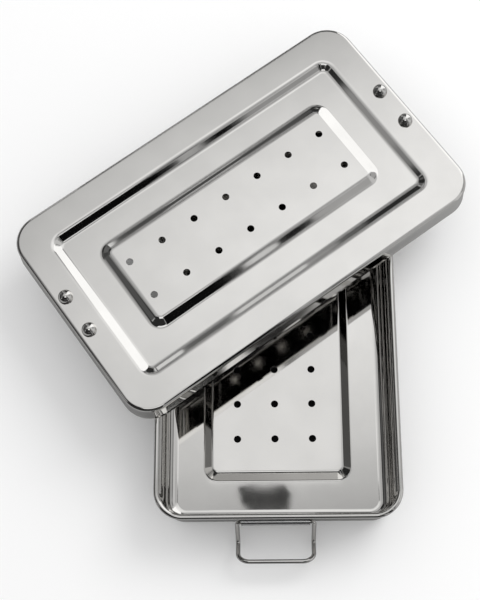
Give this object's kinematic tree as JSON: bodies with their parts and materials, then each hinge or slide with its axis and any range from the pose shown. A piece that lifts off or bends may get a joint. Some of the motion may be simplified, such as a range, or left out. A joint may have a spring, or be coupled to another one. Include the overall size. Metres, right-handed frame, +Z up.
{
  "type": "sterilization container",
  "caption": "Shallow perforated steel instrument box with a wire bail at each end, and a perforated lid with ball studs lying askew on it.",
  "frame": {"origin": "centre of the tray's footprint, on the plane it stands on", "axes": "+X across the tray, +Y along the tray away from the end that faces the viewer, +Z up"},
  "size_m": [0.2318, 0.2808, 0.0483],
  "materials": {
    "tray_steel": "mirror polished pressed stainless steel",
    "lid_steel": "mirror polished pressed stainless steel, softer on the wide flats",
    "stud_steel": "turned and polished stainless steel",
    "wire_steel": "bright drawn stainless wire",
    "strip_steel": "rolled stainless strip, satin"
  },
  "bodies": {
    "tray": {"tray": "tray_steel", "hinge_strip_near": "strip_steel", "hinge_strip_far": "strip_steel"},
    "lid": {"lid": "lid_steel", "ball_stud_left_rear": "stud_steel", "ball_stud_left_front": "stud_steel", "ball_stud_right_rear": "stud_steel", "ball_stud_right_front": "stud_steel"},
    "bail_near": {"bail_near": "wire_steel"},
    "bail_far": {"bail_far": "wire_steel"}
  },
  "joints": [
    {"name": "lid_lift", "type": "slide", "parent": "tray", "child": "lid", "axis": [0, 0, 1], "range_m": [0, 0.12]},
    {"name": "bail_near_hinge", "type": "hinge", "parent": "tray", "child": "bail_near", "pos_m": [-0.0014, -0.10372, 0.0176], "axis": [-1, 0, 0], "range_deg": [-24, 141]},
    {"name": "bail_far_hinge", "type": "hinge", "parent": "tray", "child": "bail_far", "pos_m": [0.0014, 0.10372, 0.0176], "axis": [1, 0, 0], "range_deg": [-24, 141]}
  ]
}
